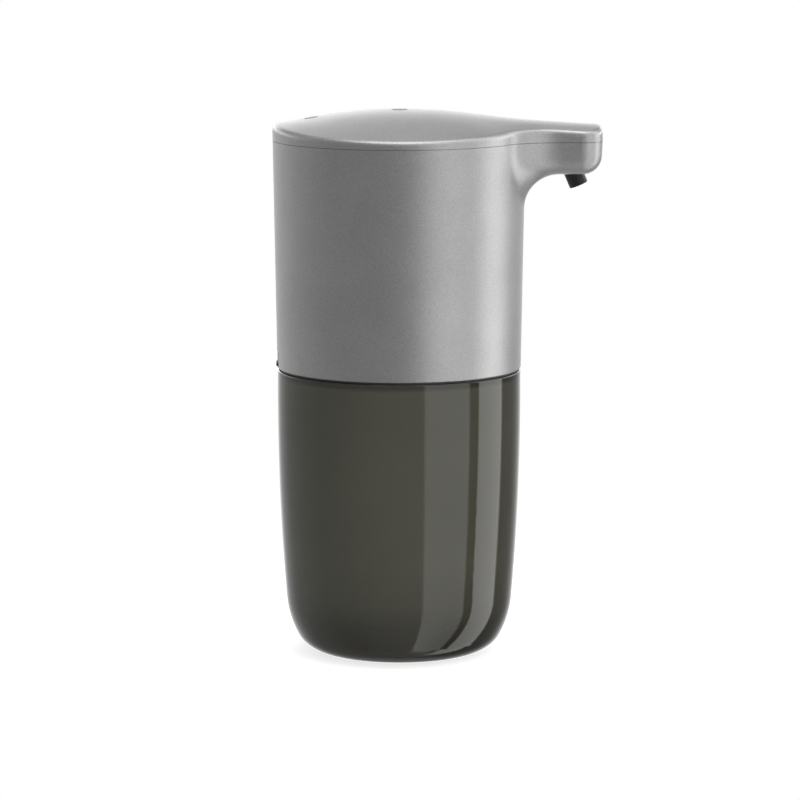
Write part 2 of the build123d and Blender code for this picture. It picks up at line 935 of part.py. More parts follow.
with BuildPart() as sensor_eyes:
    with BuildSketch(window_in.offset(eye_start)):
        with Locations((0, -eye_spacing / 2), (0, eye_spacing / 2)):
            Circle(eye_radius)
    extrude(amount=eye_length)
save(sensor_eyes, "sensor_eyes")

with BuildPart() as sensor_board:
    with BuildSketch(window_in.offset(sensor_board_start)):
        Rectangle(sensor_board_length, sensor_board_width)
    extrude(amount=sensor_board_thickness)
save(sensor_board, "sensor_board")


# Gear pump

def gear_sketch(teeth, module, tooth_angle):
    """Involute gear outline with one tooth centred on tooth_angle."""
    pitch = module * teeth / 2
    base = pitch * cos(radians(pressure_angle))
    outer = pitch + module * addendum_share
    root = pitch - module * dedendum_share
    half = pi / (2 * teeth) - gear_backlash / (4 * pitch)
    pressure = radians(pressure_angle)
    half += tan(pressure) - pressure

    def flank(radius):
        """Half of the tooth's angle at a radius."""
        turn = acos(min(1, base / radius))
        return half - (tan(turn) - turn)

    def at(radius, angle):
        return (radius * cos(angle), radius * sin(angle))

    low = max(base, root)
    middle = (low + outer) / 2
    with BuildSketch() as tooth:
        with BuildLine():
            right = ThreePointArc(
                at(low, -flank(low)), at(middle, -flank(middle)), at(outer, -flank(outer))
            )
            tip = ThreePointArc(right @ 1, (outer, 0), at(outer, flank(outer)))
            left = ThreePointArc(
                tip @ 1, at(middle, flank(middle)), at(low, flank(low))
            )
            Polyline(
                left @ 1,
                at(root / 2, flank(low)),
                at(root / 2, -flank(low)),
                right @ 0,
            )
        make_face()
    with BuildSketch() as outline:
        Circle(root)
        with PolarLocations(0, teeth, start_angle=tooth_angle):
            add(tooth.sketch)
    return outline.sketch


def gear(x, y, low, high, teeth, module, tooth_angle, bore):
    """A spur gear between two heights."""
    with BuildPart() as piece:
        with BuildSketch(Plane.XY.offset(low)):
            with Locations((x, y)):
                add(gear_sketch(teeth, module, tooth_angle))
                Circle(bore, mode=Mode.SUBTRACT)
        extrude(amount=high - low)
    return piece


def pump_outline(z):
    """Rounded rectangle that the pump's body, gasket and cover share."""
    with BuildSketch(Plane.XY.offset(z)) as outline:
        with Locations((pump_x, 0)):
            RectangleRounded(2 * pump_half_x, 2 * pump_half_y, pump_corner)
    return outline.sketch


gear_low = chamber_bottom + chamber_gap
gear_high = pump_cover_bottom - chamber_gap
shaft_low = chamber_bottom - shaft_bearing_depth
shaft_high = reduction_top + hub_proud + bracket_gap / 2

with BuildPart() as pump_body:
    add(pump_outline(floor_top))
    extrude(amount=chamber_top - floor_top)
    with BuildSketch(Plane.XY.offset(floor_top)):
        with Locations((inlet_x, 0)):
            Circle(inlet_radius)
    extrude(amount=-inlet_length)
    with BuildSketch(Plane(origin=(pump_x + pump_half_x, 0, outlet_z), z_dir=(1, 0, 0))):
        Circle(tube_bore - tube_fit)
    extrude(amount=outlet_nipple_length)
    with BuildSketch(Plane.XY.offset(chamber_bottom)):
        with Locations((pump_x, drive_y), (pump_x, idler_y)):
            Circle(chamber_radius)
    extrude(amount=chamber_depth, mode=Mode.SUBTRACT)
    with BuildSketch(Plane.XY.offset(shaft_low - seat_gap)):
        with Locations((pump_x, drive_y), (pump_x, idler_y)):
            Circle(shaft_radius + running_gap)
    extrude(amount=chamber_depth, mode=Mode.SUBTRACT)
    with BuildSketch(Plane.XY.offset(floor_top - inlet_length)):
        with Locations((inlet_x, 0)):
            Circle(inlet_bore)
    extrude(amount=inlet_length + pump_floor + chamber_depth / 2, mode=Mode.SUBTRACT)
    with BuildSketch(Plane(origin=(pump_x, 0, outlet_z), z_dir=(1, 0, 0))):
        Circle(outlet_bore)
    extrude(amount=pump_half_x + outlet_nipple_length, mode=Mode.SUBTRACT)
    with BuildSketch(Plane.XY.offset(floor_top)):
        with Locations(*pump_screw_places):
            Circle(pump_screw_radius + press_gap)
    extrude(amount=chamber_top - floor_top, mode=Mode.SUBTRACT)
save(pump_body, "pump_body")

with BuildPart() as pump_gasket:
    add(pump_outline(chamber_top))
    extrude(amount=gasket_thickness)
    with BuildSketch(Plane.XY.offset(chamber_top)):
        with Locations((pump_x, drive_y), (pump_x, idler_y)):
            Circle(chamber_radius)
        with Locations(*pump_screw_places):
            Circle(pump_screw_radius + press_gap)
    extrude(amount=gasket_thickness, mode=Mode.SUBTRACT)
save(pump_gasket, "pump_gasket")

with BuildPart() as pump_cover:
    add(pump_outline(pump_cover_bottom))
    extrude(amount=pump_cover_thickness)
    with BuildSketch(Plane.XY.offset(pump_cover_bottom)):
        with Locations((pump_x, drive_y)):
            Circle(shaft_radius + running_gap)
        with Locations(*pump_screw_places):
            Circle(pump_screw_radius + press_gap)
    extrude(amount=pump_cover_thickness, mode=Mode.SUBTRACT)
    with BuildSketch(Plane.XY.offset(pump_cover_top)):
        with Locations((pump_x, drive_y)):
            Circle(shaft_seal_radius)
    extrude(amount=-shaft_seal_height, mode=Mode.SUBTRACT)
    with BuildSketch(Plane.XY.offset(pump_cover_bottom)):
        with Locations((pump_x, idler_y)):
            Circle(shaft_radius + running_gap)
    extrude(amount=shaft_bearing_depth, mode=Mode.SUBTRACT)
save(pump_cover, "pump_cover")

with BuildPart() as shaft_seal:
    with BuildSketch(Plane.XY.offset(pump_cover_top)):
        with Locations((pump_x, drive_y)):
            Circle(shaft_seal_radius)
            Circle(shaft_radius + running_gap, mode=Mode.SUBTRACT)
    extrude(amount=-shaft_seal_height)
save(shaft_seal, "shaft_seal")

tooth_half_turn = 180 / gear_teeth
save(
    gear(pump_x, drive_y, gear_low, gear_high, gear_teeth, gear_module, 90, shaft_radius),
    "pump_drive_gear",
)
save(
    gear(
        pump_x, idler_y, gear_low, gear_high, gear_teeth, gear_module,
        tooth_half_turn - 90, shaft_radius + running_gap,
    ),
    "pump_idler_gear",
)

with BuildPart() as drive_shaft:
    with BuildSketch(Plane.XY.offset(shaft_low)):
        with Locations((pump_x, drive_y)):
            Circle(shaft_radius)
    extrude(amount=shaft_high - shaft_low)
save(drive_shaft, "drive_shaft")

with BuildPart() as idler_pin:
    with BuildSketch(Plane.XY.offset(shaft_low)):
        with Locations((pump_x, idler_y)):
            Circle(shaft_radius)
    extrude(amount=pump_cover_bottom + shaft_bearing_depth - seat_gap - shaft_low)
save(idler_pin, "idler_pin")


# Reduction gear, pinion and motor

root_radius = drive_module * (reduction_teeth / 2 - dedendum_share)

with BuildPart() as reduction_gear:
    with BuildSketch(Plane.XY.offset(reduction_bottom)):
        with Locations((pump_x, drive_y)):
            add(gear_sketch(reduction_teeth, drive_module, -90))
    extrude(amount=drive_face)
    for z, way in ((reduction_bottom, 1), (reduction_top, -1)):
        with BuildSketch(Plane.XY.offset(z)):
            with Locations((pump_x, drive_y)):
                Circle(root_radius - rim_band)
                Circle(hub_radius, mode=Mode.SUBTRACT)
        extrude(amount=way * web_recess, mode=Mode.SUBTRACT)
    with BuildSketch(Plane.XY.offset(reduction_bottom - hub_proud)):
        with Locations((pump_x, drive_y)):
            Circle(hub_radius)
    extrude(amount=drive_face + 2 * hub_proud)
    with BuildSketch(Plane.XY.offset(reduction_bottom - hub_proud)):
        with Locations((pump_x, drive_y)):
            Circle(shaft_radius)
    extrude(amount=drive_face + 2 * hub_proud, mode=Mode.SUBTRACT)
save(reduction_gear, "reduction_gear")

pinion_low = reduction_bottom + (drive_face - pinion_face) / 2
pinion_high = pinion_low + pinion_face
pinion_half_turn = 180 / pinion_teeth
save(
    gear(
        pump_x, motor_y, pinion_low, pinion_high, pinion_teeth, drive_module,
        90 + pinion_half_turn, motor_shaft_radius,
    ),
    "motor_pinion",
)

with BuildPart() as motor_shaft:
    with BuildSketch(Plane.XY.offset(pinion_low)):
        with Locations((pump_x, motor_y)):
            Circle(motor_shaft_radius)
    extrude(amount=motor_bottom + motor_bearing_depth - pinion_low)
save(motor_shaft, "motor_shaft")

with BuildPart() as motor_can:
    with BuildSketch(Plane.XY.offset(motor_bottom)):
        with Locations((pump_x, motor_y)):
            Circle(motor_radius)
            Rectangle(2 * motor_flat, 2 * motor_radius, mode=Mode.INTERSECT)
    extrude(amount=motor_length)
    with BuildSketch(Plane.XY.offset(motor_bottom)):
        with Locations((pump_x, motor_y)):
            Circle(motor_boss_radius)
    extrude(amount=-motor_boss_height)
    with BuildSketch(Plane.XY.offset(motor_bottom - motor_boss_height)):
        with Locations((pump_x, motor_y)):
            Circle(motor_shaft_radius + running_gap)
    extrude(
        amount=motor_boss_height + motor_bearing_depth + seat_gap, mode=Mode.SUBTRACT
    )
    with BuildSketch(Plane.XY.offset(motor_bottom)):
        with Locations(*[(pump_x + a * motor_screw_spacing, motor_y) for a in (-1, 1)]):
            Circle(motor_screw_radius + press_gap)
    extrude(amount=motor_screw_depth + seat_gap, mode=Mode.SUBTRACT)
save(motor_can, "motor_can")

with BuildPart() as motor_end_cap:
    with BuildSketch(Plane.XY.offset(motor_top)):
        with Locations((pump_x, motor_y)):
            Circle(motor_radius - motor_cap_inset)
            Rectangle(2 * (motor_flat - motor_cap_inset), 2 * motor_radius, mode=Mode.INTERSECT)
    extrude(amount=motor_cap_height)
    with BuildSketch(Plane.XY.offset(motor_top + motor_cap_height)):
        with Locations(*[(pump_x, motor_y + a * motor_flat) for a in (-1, 1)]):
            Rectangle(terminal_width, terminal_thickness)
    extrude(amount=terminal_height)
save(motor_end_cap, "motor_end_cap")

with BuildPart() as motor_bracket:
    with BuildSketch(Plane.XY.offset(bracket_bottom)):
        with BuildLine():
            for x, y in legs:
                CenterArc((x, y), leg_radius + bracket_margin, 0, 360)
            CenterArc((pump_x, motor_y), motor_radius + bracket_margin, 0, 360)
        make_hull()
        with Locations((pump_x, motor_y)):
            Circle(motor_boss_radius + seat_gap, mode=Mode.SUBTRACT)
        with Locations(*[(pump_x + a * motor_screw_spacing, motor_y) for a in (-1, 1)]):
            Circle(motor_screw_radius + press_gap, mode=Mode.SUBTRACT)
    extrude(amount=bracket_thickness)
    with BuildSketch(Plane.XY.offset(bracket_bottom)):
        with Locations(*legs):
            Circle(leg_radius)
    extrude(amount=floor_top - bracket_bottom)
    with BuildSketch(Plane.XY.offset(floor_top)):
        with Locations(*legs):
            Circle(peg_radius + press_gap)
    extrude(amount=peg_height + seat_gap, mode=Mode.SUBTRACT)
save(motor_bracket, "motor_bracket")


# Pickup tube and strainer, hanging into the reservoir

strainer_bottom = pad_proud + reservoir_floor + strainer_floor_gap
strainer_top = strainer_bottom + strainer_height
pickup_bottom = strainer_top - pickup_inset
pickup_top = floor_top - inlet_length + pickup_overlap

with BuildPart() as pickup_tube:
    with BuildSketch(Plane.XY.offset(pickup_bottom)):
        with Locations((inlet_x, 0)):
            Circle(pickup_radius)
            Circle(inlet_radius + press_gap, mode=Mode.SUBTRACT)
    extrude(amount=pickup_top - pickup_bottom)
save(pickup_tube, "pickup_tube")

with BuildPart() as pickup_strainer:
    with BuildSketch(Plane.XY.offset(strainer_bottom)):
        with Locations((inlet_x, 0)):
            Circle(strainer_radius)
    extrude(amount=strainer_height)
    with BuildSketch(Plane.XY.offset(strainer_bottom + strainer_wall)):
        with Locations((inlet_x, 0)):
            Circle(strainer_radius - strainer_wall)
    extrude(amount=strainer_height - strainer_wall - pickup_inset, mode=Mode.SUBTRACT)
    with BuildSketch(Plane.XY.offset(strainer_bottom + strainer_wall)):
        with Locations((inlet_x, 0)):
            Circle(pickup_radius + press_gap)
    extrude(amount=strainer_height, mode=Mode.SUBTRACT)
    with BuildSketch(Plane.XY.offset(strainer_bottom)):
        with Locations((inlet_x, 0)):
            with PolarLocations(strainer_radius, strainer_slots):
                Rectangle(2 * strainer_wall + overrun / 2, strainer_slot)
    extrude(amount=strainer_height / 2, mode=Mode.SUBTRACT)
save(pickup_strainer, "pickup_strainer")


# Battery in its cradle

cell_bottom = floor_top + cradle_floor + contact_thickness + 2 * running_gap
cell_top = cell_bottom + cell_length
contact_low = floor_top + cradle_floor + running_gap
contact_high = cell_top + cell_nub_height + running_gap

with BuildPart() as battery_cell:
    with BuildSketch(Plane.XY.offset(cell_bottom)):
        with Locations((cell_x, cell_y)):
            Circle(cell_radius)
    extrude(amount=cell_length)
    with BuildSketch(Plane.XY.offset(cell_top)):
        with Locations((cell_x, cell_y)):
            Circle(cell_nub_radius)
    extrude(amount=cell_nub_height)
save(battery_cell, "battery_cell")

to_board_x = charge_board_x - cell_x
to_board_y = -cell_y
to_board = hypot(to_board_x, to_board_y)


def from_cell(reach):
    """Point at a distance from the cell's axis toward the charging board."""
    return cell_x + to_board_x / to_board * reach, cell_y + to_board_y / to_board * reach


with BuildPart() as battery_contacts:
    for z in (contact_low, contact_high):
        with BuildSketch(Plane.XY.offset(z)):
            with Locations((cell_x, cell_y)):
                Circle(contact_radius)
        extrude(amount=contact_thickness)
    tag = Plane(
        origin=(*from_cell(tag_reach / 2), contact_low),
        x_dir=(to_board_x, to_board_y, 0),
        z_dir=(0, 0, 1),
    )
    with BuildSketch(tag):
        Rectangle(tag_reach, tag_width)
    extrude(amount=contact_thickness)
save(battery_contacts, "battery_contacts")

cradle_inner = cell_radius + cradle_gap
cradle_outer = cradle_inner + cradle_wall

with BuildPart() as battery_cradle:
    with BuildSketch(Plane.XY.offset(floor_top)):
        with Locations((cell_x, cell_y)):
            Circle(cradle_outer)
    extrude(amount=cradle_floor + cradle_height)
    with BuildSketch(Plane.XY.offset(floor_top + cradle_floor)):
        with Locations((cell_x, cell_y)):
            Circle(cradle_inner)
        with BuildLine():
            half_opening = cradle_opening / 2
            reach = cradle_outer / cos(radians(half_opening))
            ends = [
                (
                    cell_x + reach * cos(radians(cradle_opening_angle + side * half_opening)),
                    cell_y + reach * sin(radians(cradle_opening_angle + side * half_opening)),
                )
                for side in (-1, 1)
            ]
            Polyline((cell_x, cell_y), ends[0], ends[1], close=True)
        make_face()
    extrude(amount=cradle_height, mode=Mode.SUBTRACT)
save(battery_cradle, "battery_cradle")


# Charging board, socket and rubber plug at the back

with BuildPart() as charge_board:
    with BuildSketch(Plane.XY.offset(charge_board_bottom)):
        with Locations((charge_board_x, 0)):
            Rectangle(charge_board_length, charge_board_width)
    extrude(amount=charge_board_thickness)
save(charge_board, "charge_board")

with BuildPart() as charge_socket:
    with BuildSketch(Plane(origin=(-socket_reach, 0, socket_z), z_dir=(1, 0, 0))):
        RectangleRounded(socket_height, socket_width, socket_height / 2 - running_gap)
        RectangleRounded(
            socket_height - 2 * socket_wall,
            socket_width - 2 * socket_wall,
            socket_height / 2 - socket_wall - running_gap,
            mode=Mode.SUBTRACT,
        )
    extrude(amount=socket_depth)
    with BuildSketch(Plane(origin=(socket_depth - socket_reach, 0, socket_z), z_dir=(-1, 0, 0))):
        RectangleRounded(socket_height, socket_width, socket_height / 2 - running_gap)
    extrude(amount=socket_back)
    with BuildSketch(Plane(origin=(socket_depth - socket_reach, 0, socket_z), z_dir=(-1, 0, 0))):
        Rectangle(tongue_thickness, tongue_width)
    extrude(amount=socket_depth - tongue_inset)
save(charge_socket, "charge_socket")

plug_bottom = housing_bottom + running_gap
plug_half_width = notch_width / 2 - plug_side_gap

with BuildPart() as plug_bead:
    with BuildSketch(Plane.XZ):
        with Locations((bead_x, bead_z)):
            Circle(bead_radius)
    extrude(amount=plug_half_width, both=True)
    with BuildSketch(Plane.XY.offset(housing_bottom)):
        Circle(head_radius(bead_z) - plug_recess)
    extrude(amount=notch_height, mode=Mode.INTERSECT)

with BuildPart() as plug_tab:
    with BuildSketch(Plane.XZ):
        with BuildLine():
            tab_low = plug_bottom + tab_lift
            tab_out = plug_recess - head_radius(tab_low) - tab_proud
            tab_in = tab_out + tab_proud + plug_thickness / 2
            Polyline(
                (tab_in, tab_low),
                (tab_out + tab_proud, tab_low),
                (tab_out, tab_low + tab_height / 4),
                (tab_out, tab_low + tab_height * 3 / 4),
                (tab_out + tab_proud, tab_low + tab_height),
                (tab_in, tab_low + tab_height),
                close=True,
            )
        make_face()
    revolve(axis=Axis.Z)
    with BuildSketch(Plane.XY.offset(plug_bottom)):
        with Locations((-rim_radius, 0)):
            Rectangle(rim_radius, 2 * tab_half_width)
    extrude(amount=notch_height, mode=Mode.INTERSECT)

with BuildPart() as charge_plug:
    with BuildSketch(Plane.XZ):
        with BuildLine():
            outer_low = plug_recess - head_radius(plug_bottom)
            outer_high = plug_recess - head_radius(bead_z)
            Polyline(
                (outer_low, plug_bottom),
                (outer_high, bead_z),
                (outer_high + plug_thickness, bead_z),
                (outer_low + plug_thickness, plug_bottom),
                close=True,
            )
        make_face()
    revolve(axis=Axis.Z)
    with BuildSketch(Plane.XY.offset(plug_bottom)):
        with Locations((-rim_radius, 0)):
            Rectangle(rim_radius, 2 * plug_half_width)
    extrude(amount=notch_height, mode=Mode.INTERSECT)
    add(plug_bead.part)
    add(plug_tab.part)
    with BuildSketch(Plane(origin=(bead_x, 0, socket_z), z_dir=(1, 0, 0))):
        RectangleRounded(2 * boss_half_height, 2 * boss_half_width, boss_half_height - running_gap)
    extrude(amount=plug_thickness - bead_radius + boss_reach)
save(charge_plug, "charge_plug")


# Leads between the boards, the cell and the motor

def leads(routes):
    """One node of round wires, each along straight runs with small bends."""
    with BuildPart() as group:
        for route in routes:
            way = (Vector(*route[1]) - Vector(*route[0])).normalized()
            with BuildLine():
                if len(route) > 2:
                    FilletPolyline(*route, radius=wire_bend)
                else:
                    Line(*route)
            with BuildSketch(Plane(origin=route[0], z_dir=way)):
                Circle(wire_radius)
            sweep()
    return group


wire_level = contact_high + contact_thickness + wire_radius
drop_x, drop_y = from_cell(cradle_outer + wire_radius + wire_bend)
tag_x, tag_y = from_cell(tag_reach - wire_radius)
lead_end_z = charge_board_top + wire_radius
save(
    leads([
        [
            (cell_x, cell_y, wire_level),
            (drop_x, drop_y, wire_level),
            (drop_x, drop_y, lead_end_z),
            (charge_board_x + lead_spacing, charge_board_width / 4, lead_end_z),
        ],
        [
            (tag_x, tag_y, lead_end_z),
            (charge_board_x + 3 * lead_spacing, charge_board_width / 4, lead_end_z),
        ],
    ]),
    "battery_leads",
)

riser_y = wire_bend - charge_board_width
save(
    leads([
        [
            (x, -charge_board_width / 4, lead_end_z),
            (x, riser_y, lead_end_z),
            (x, riser_y, board_bottom),
        ]
        for x in (charge_board_x, charge_board_x + lead_spacing)
    ]),
    "power_leads",
)

terminal_z = motor_top + motor_cap_height + terminal_height / 2
terminal_x = pump_x - terminal_width / 2
save(
    leads([
        [
            (terminal_x, motor_y + side * motor_flat, terminal_z),
            (terminal_x - 2 * wire_bend, motor_y + side * motor_flat, terminal_z),
            (terminal_x - 2 * wire_bend, motor_y + side * motor_flat, board_bottom),
        ]
        for side in (-1, 1)
    ]),
    "motor_leads",
)

sensor_back = window_in.offset(sensor_board_start + sensor_board_thickness)
sensor_starts = [
    sensor_back.from_local_coords((
        wire_radius - sensor_board_length / 2,
        side * (sensor_board_width / 2 - wire_radius),
        wire_radius * cos(radians(sensor_tilt)),
    ))
    for side in (-1, 1)
]
lead_turn_x = board_front_reach - 2 * wire_bend
save(
    leads([
        [(p.X, p.Y, p.Z), (lead_turn_x, p.Y, p.Z), (lead_turn_x, p.Y, board_bottom)]
        for p in sensor_starts
    ]),
    "sensor_leads",
)
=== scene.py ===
import bmesh
import bpy
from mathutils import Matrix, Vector


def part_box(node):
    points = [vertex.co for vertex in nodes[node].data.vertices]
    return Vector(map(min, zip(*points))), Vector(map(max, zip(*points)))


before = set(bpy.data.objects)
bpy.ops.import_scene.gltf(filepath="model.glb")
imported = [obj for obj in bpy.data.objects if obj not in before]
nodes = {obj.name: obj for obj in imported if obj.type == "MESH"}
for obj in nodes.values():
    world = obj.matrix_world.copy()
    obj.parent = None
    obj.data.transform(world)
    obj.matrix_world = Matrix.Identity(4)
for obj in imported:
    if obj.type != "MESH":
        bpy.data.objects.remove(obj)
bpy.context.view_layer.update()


# helpers for the node trees

def newMaterial(name):
    made = bpy.data.materials.new(name)
    made.use_nodes = True
    return made, made.node_tree, made.node_tree.nodes["Principled BSDF"]


def put(tree, kind, **settings):
    node = tree.nodes.new(kind)
    for key, value in settings.items():
        setattr(node, key, value)
    return node


def feed(tree, socket, value):  # a number is typed in, an output is linked
    if isinstance(value, (int, float)):
        socket.default_value = value
    else:
        tree.links.new(value, socket)


def mathNode(tree, op, a, b=None):
    node = put(tree, "ShaderNodeMath", operation=op)
    feed(tree, node.inputs[0], a)
    if b is not None:
        feed(tree, node.inputs[1], b)
    return node.outputs[0]


def mapped(tree, value, source=(0, 1), target=(0, 1), smooth=False):
    node = put(tree, "ShaderNodeMapRange", interpolation_type="SMOOTHSTEP" if smooth else "LINEAR")
    node.inputs["From Min"].default_value, node.inputs["From Max"].default_value = source
    node.inputs["To Min"].default_value, node.inputs["To Max"].default_value = target
    tree.links.new(value, node.inputs["Value"])
    return node.outputs[0]


def ramp(tree, fac, stops):  # stops are (place, colour)
    node = put(tree, "ShaderNodeValToRGB")
    elements = node.color_ramp.elements
    while len(elements) < len(stops):
        elements.new(0.5)
    for element, (place, colour) in zip(elements, stops):
        element.position = place
        element.color = (*colour, 1)
    tree.links.new(fac, node.inputs[0])
    return node.outputs[0]


def greyRamp(tree, fac, stops):  # stops are (place, level)
    return ramp(tree, fac, [(place, (level,) * 3) for place, level in stops])


def shade(colour, k):
    return tuple(min(1, v * k) for v in colour)


def spotted(tree, fac, colour, places, shades):  # a colour that wanders between two shades of itself
    return ramp(tree, fac, [(place, shade(colour, k)) for place, k in zip(places, shades)])


def multiplied(tree, x, y):
    node = put(tree, "ShaderNodeMix", data_type="RGBA", blend_type="MULTIPLY")
    node.inputs[0].default_value = 1
    tree.links.new(x, node.inputs[6])  # 6, 7 and 2 are the colour sockets
    tree.links.new(y, node.inputs[7])
    return node.outputs[2]


def weighed(tree, x, share, y):
    rest = mathNode(tree, "MULTIPLY", y, 1 - share)
    return mathNode(tree, "ADD", mathNode(tree, "MULTIPLY", x, share), rest)


def noise(tree, coord, scale, detail=2.0, rough=0.5):
    node = put(tree, "ShaderNodeTexNoise")
    node.inputs["Scale"].default_value = scale
    node.inputs["Detail"].default_value = detail
    node.inputs["Roughness"].default_value = rough
    tree.links.new(coord, node.inputs["Vector"])
    return node.outputs["Fac"]


def objCoord(tree, stretch=None):
    coord = put(tree, "ShaderNodeTexCoord").outputs["Object"]
    if stretch is None:
        return coord
    node = put(tree, "ShaderNodeMapping")
    node.inputs["Scale"].default_value = stretch
    tree.links.new(coord, node.inputs["Vector"])
    return node.outputs[0]


def bump(tree, shader, height, strength, depth):  # depth in metres
    node = put(tree, "ShaderNodeBump")
    node.inputs["Strength"].default_value = strength
    node.inputs["Distance"].default_value = depth
    tree.links.new(height, node.inputs["Height"])
    tree.links.new(node.outputs[0], shader.inputs["Normal"])


def give(material, *names):
    for name in names:
        nodes[name].data.materials.clear()
        nodes[name].data.materials.append(material)


# camera, matched to the photo: places in metres, lens and sensor in millimetres

camVals = {
    "pos": (0.00031, -1.380507, 0.291068), "aim": (0.00031, 0, 0.085197),
    "lens": 186.14, "sensor": 36,
}

cam = bpy.data.cameras.new("cam")
cam.lens = camVals["lens"]
cam.sensor_width = camVals["sensor"]
camObj = bpy.data.objects.new("cam", cam)
bpy.context.collection.objects.link(camObj)
camObj.location = camVals["pos"]
look = Vector(camVals["aim"]) - Vector(camVals["pos"])
camObj.rotation_euler = look.to_track_quat("-Z", "Y").to_euler()
bpy.context.scene.camera = camObj
bpy.context.scene.view_settings.view_transform = "Standard"
print("camera done")


# studio: white all round for the camera, soft boxes and dim walls for the gloss
# azimuth is 0 on the camera's side and 90 on the spout's, elevation is 0 at the horizon, in degrees

studio = {
    # light all round, by azimuth
    "ring": [(-180, 1.60), (-165, 1.10), (-153, 0.68), (-131, 0.41), (-109, 0.325), (-95, 0.30),
             (-75, 0.243), (-30, 0.222), (0, 0.217), (23.4, 0.22), (24.8, 0.83), (50, 0.79),
             (69.5, 0.79), (70.9, 0.04), (80.3, 0.04), (81.7, 1.42), (113, 1.55), (114.5, 0.06),
             (134, 0.16), (144, 0.31), (153, 0.57), (164, 1.04), (180, 1.60)],
    # share of that light below the horizon, by azimuth
    "low": [(-180, 0.25), (-150, 0.50), (-110, 0.75), (-60, 0.85), (-25, 1.15),
            (25, 1.25), (60, 0.85), (110, 0.80), (150, 0.50), (180, 0.25)],
    # light behind the object, by elevation
    "behind": [(-10, 1.50), (2, 1.80), (10, 3.20), (17, 1.10), (26, 0.50), (45, 0.40),
               (62, 0.30), (74, 2.20), (90, 2.20)],
    # share of the light behind the object, by azimuth
    "rear": [(-180, 1.03), (-168, 1.36), (-159, 1.22), (-149, 0.50), (-135, 0.65), (-110, 0.80),
             (110, 1.40), (136, 1.00), (147, 0.60), (157, 0.68), (168, 0.76), (180, 1.03)],
    "overhead": 2.20,
    "under": 0.25,
    "most": 3.2,  # the highest level that the tables hold
    # where one light fades into the next: the middle of the fade and half its width
    "lowEdge": (-32, 16),
    "underEdge": (-72, 10),
    "overheadEdge": (69, 6),
    "rearSide": (118, 18),
    "rearFoot": (1, 4),
    "backdropSide": (168, 4),
    "backdropFoot": (-14, 3),
    "backdropTop": (12, -3),  # a minus sign makes it fall
}

world = bpy.data.worlds.new("studio")
world.use_nodes = True
bpy.context.scene.world = world
worldTree = world.node_tree
background = worldTree.nodes["Background"]
background.inputs["Color"].default_value = (1, 1, 1, 1)
sight = put(worldTree, "ShaderNodeSeparateXYZ")
worldTree.links.new(put(worldTree, "ShaderNodeTexCoord").outputs["Generated"], sight.inputs[0])
toCamera = mathNode(worldTree, "MULTIPLY", sight.outputs["Y"], -1.0)
azimuth = mathNode(worldTree, "DEGREES", mathNode(worldTree, "ARCTAN2", sight.outputs["X"], toCamera))
aside = mathNode(worldTree, "ABSOLUTE", azimuth)
elevation = mathNode(worldTree, "DEGREES", mathNode(worldTree, "ARCSINE", sight.outputs["Z"]))


def step(value, edge):
    middle, soft = studio[edge]
    source = (middle - abs(soft), middle + abs(soft))
    return mapped(worldTree, value, source, (1.0, 0.0) if soft < 0 else (0.0, 1.0), smooth=True)


def levels(angle, reach, table):  # the light of a table that runs from -reach to reach
    most = studio["most"]
    stops = [((at + reach) / (2 * reach), level / most) for at, level in studio[table]]
    fac = mapped(worldTree, angle, (-reach, reach))
    return mathNode(worldTree, "MULTIPLY", greyRamp(worldTree, fac, stops), most)


def blend(fac, x, y):
    node = put(worldTree, "ShaderNodeMix", data_type="FLOAT")
    for socket, value in zip((node.inputs[0], node.inputs[2], node.inputs[3]), (fac, x, y)):
        feed(worldTree, socket, value)
    return node.outputs[0]


lowShare = blend(step(elevation, "lowEdge"), levels(azimuth, 180, "low"), 1.0)
level = mathNode(worldTree, "MULTIPLY", levels(azimuth, 180, "ring"), lowShare)
level = blend(step(elevation, "underEdge"), studio["under"], level)
level = blend(step(elevation, "overheadEdge"), level, studio["overhead"])
rear = mathNode(worldTree, "MULTIPLY", step(aside, "rearSide"), step(elevation, "rearFoot"))
behind = mathNode(worldTree, "MULTIPLY", levels(elevation, 90, "behind"), levels(azimuth, 180, "rear"))
level = blend(rear, level, behind)

path = put(worldTree, "ShaderNodeLightPath")
seen = mathNode(worldTree, "MAXIMUM", path.outputs["Is Camera Ray"], path.outputs["Is Transmission Ray"])
# gloss sees at least the same white where the backdrop stands, and the studio elsewhere
height = mathNode(worldTree, "MULTIPLY", step(elevation, "backdropFoot"), step(elevation, "backdropTop"))
backdrop = mathNode(worldTree, "MULTIPLY", step(aside, "backdropSide"), height)
whiteInGloss = mathNode(worldTree, "MULTIPLY", path.outputs["Is Glossy Ray"], backdrop)
level = mathNode(worldTree, "MAXIMUM", level, whiteInGloss)
worldTree.links.new(blend(seen, level, 1.0), background.inputs["Strength"])
print("studio done")


# floor: a pale disc that fades into the white, radii in metres

floorVals = {"solid": 0.13, "radius": 0.21, "sides": 96, "tone": 0.82, "rough": 0.9, "lift": 0.75}

